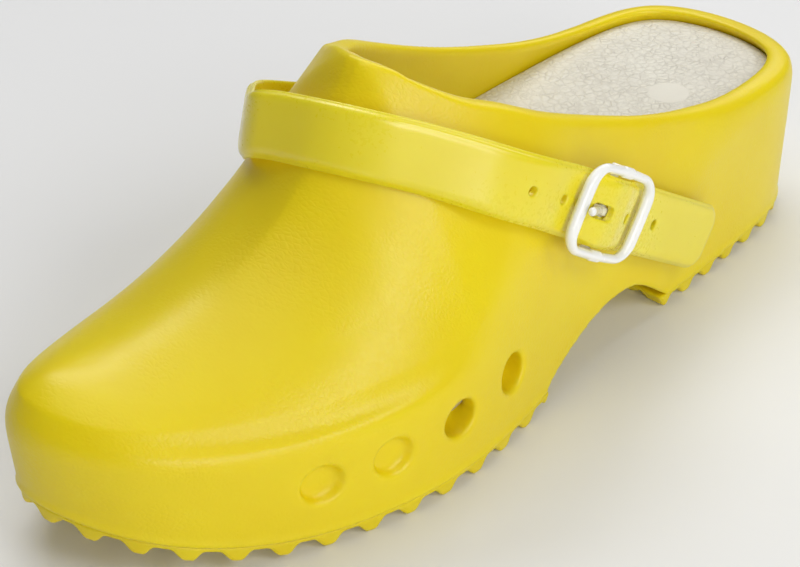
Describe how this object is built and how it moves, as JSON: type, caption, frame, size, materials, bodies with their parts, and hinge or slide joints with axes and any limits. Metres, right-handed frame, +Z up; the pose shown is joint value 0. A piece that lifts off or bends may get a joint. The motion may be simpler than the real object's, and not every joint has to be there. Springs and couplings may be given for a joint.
{
  "type": "clog with heel strap",
  "caption": "Moulded left clog with a closed toe, thick sole with open arch, lugged treads, inset footbed, and a swinging buckled heel strap.",
  "frame": {"origin": "on the ground, under the middle of the shoe's footprint box", "axes": "+Z up, -Y towards the toe, +X towards the outer side of a left foot, where the buckle is"},
  "size_m": [0.1001, 0.281, 0.103],
  "materials": {
    "moulded_upper": "satin, fine moulded grain",
    "tread": "satin",
    "insole_foam": "matt",
    "insole_leather": "pebbled, matt",
    "strap_plastic": "glossy, slightly translucent",
    "buckle_plastic": "glossy",
    "stud_plastic": "glossy"
  },
  "bodies": {
    "shoe": {"clog_body": "moulded_upper", "forefoot_outsole": "tread", "heel_outsole": "tread", "insole_base": "insole_foam", "insole_cover": "insole_leather", "outer_pivot_stud": "stud_plastic", "inner_pivot_stud": "stud_plastic"},
    "strap": {"heel_strap": "strap_plastic", "anchor_strap": "strap_plastic"},
    "buckle": {"buckle_frame": "buckle_plastic"},
    "prong": {"buckle_prong": "buckle_plastic"}
  },
  "joints": [
    {"name": "strap_swing", "type": "hinge", "parent": "shoe", "child": "strap", "pos_m": [0, 0.05365, 0.0285], "axis": [-1, 0, 0], "range_deg": [0, 140]},
    {"name": "buckle_tilt", "type": "hinge", "parent": "strap", "child": "buckle", "pos_m": [0.04205, 0.01125, 0.055], "axis": [0, 0.5299, 0.848], "range_deg": [-2, 2]},
    {"name": "prong_lift", "type": "hinge", "parent": "buckle", "child": "prong", "pos_m": [0.04205, 0.01125, 0.055], "axis": [0, 0.5299, 0.848], "range_deg": [0, 20]}
  ]
}
